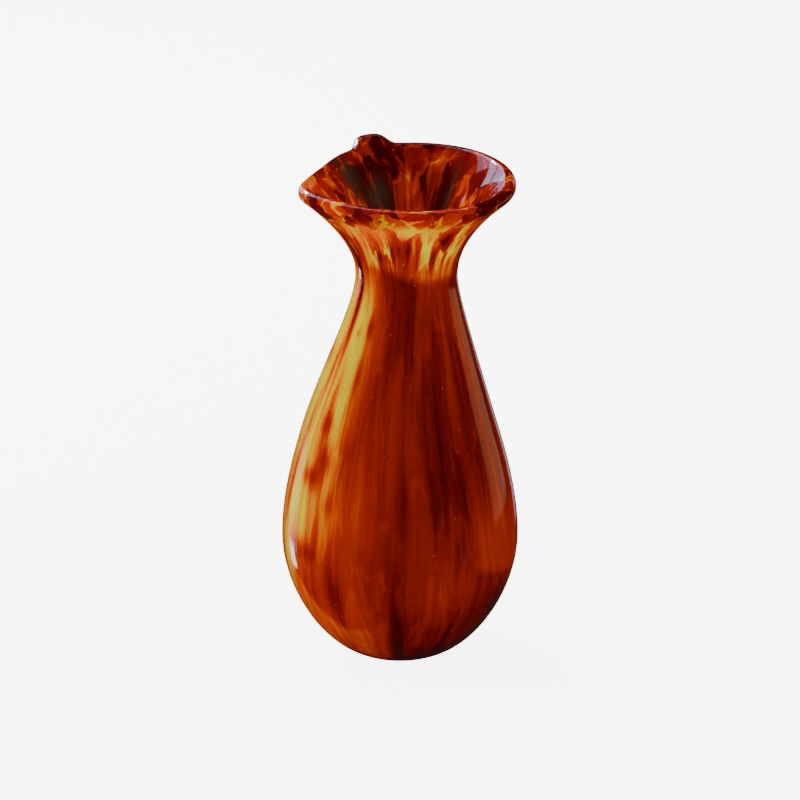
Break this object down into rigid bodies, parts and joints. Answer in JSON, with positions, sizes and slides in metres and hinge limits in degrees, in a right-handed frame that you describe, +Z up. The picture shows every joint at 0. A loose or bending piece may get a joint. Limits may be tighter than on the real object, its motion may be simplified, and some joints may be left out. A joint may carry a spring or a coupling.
{
  "type": "vase",
  "caption": "Hand blown pear-shaped glass vase with a flared, worked mouth and a layer of red, orange and yellow chips cased in clear glass.",
  "frame": {"origin": "middle of the ground foot, on the surface that the vase stands on", "axes": "+Z up along the belly's axis; -Y is the front, with the pulled spout at the back left (-X, +Y)"},
  "size_m": [0.1114, 0.1114, 0.237],
  "materials": {
    "clear_glass": "fire polished, clear",
    "ruby_glass": "dark red, transparent",
    "orange_glass": "orange, half opaque",
    "russet_glass": "red-brown, half opaque",
    "scarlet_glass": "bright red, transparent",
    "yellow_glass": "yellow, opaque",
    "amber_glass": "amber, half opaque",
    "smoke_glass": "dark grey, transparent"
  },
  "bodies": {
    "root": {"clear_casing": "clear_glass", "ruby_frit": "ruby_glass", "orange_frit": "orange_glass", "russet_frit": "russet_glass", "scarlet_frit": "scarlet_glass", "yellow_frit": "yellow_glass", "amber_frit": "amber_glass", "smoke_frit": "smoke_glass", "clear_core": "clear_glass"}
  },
  "joints": []
}
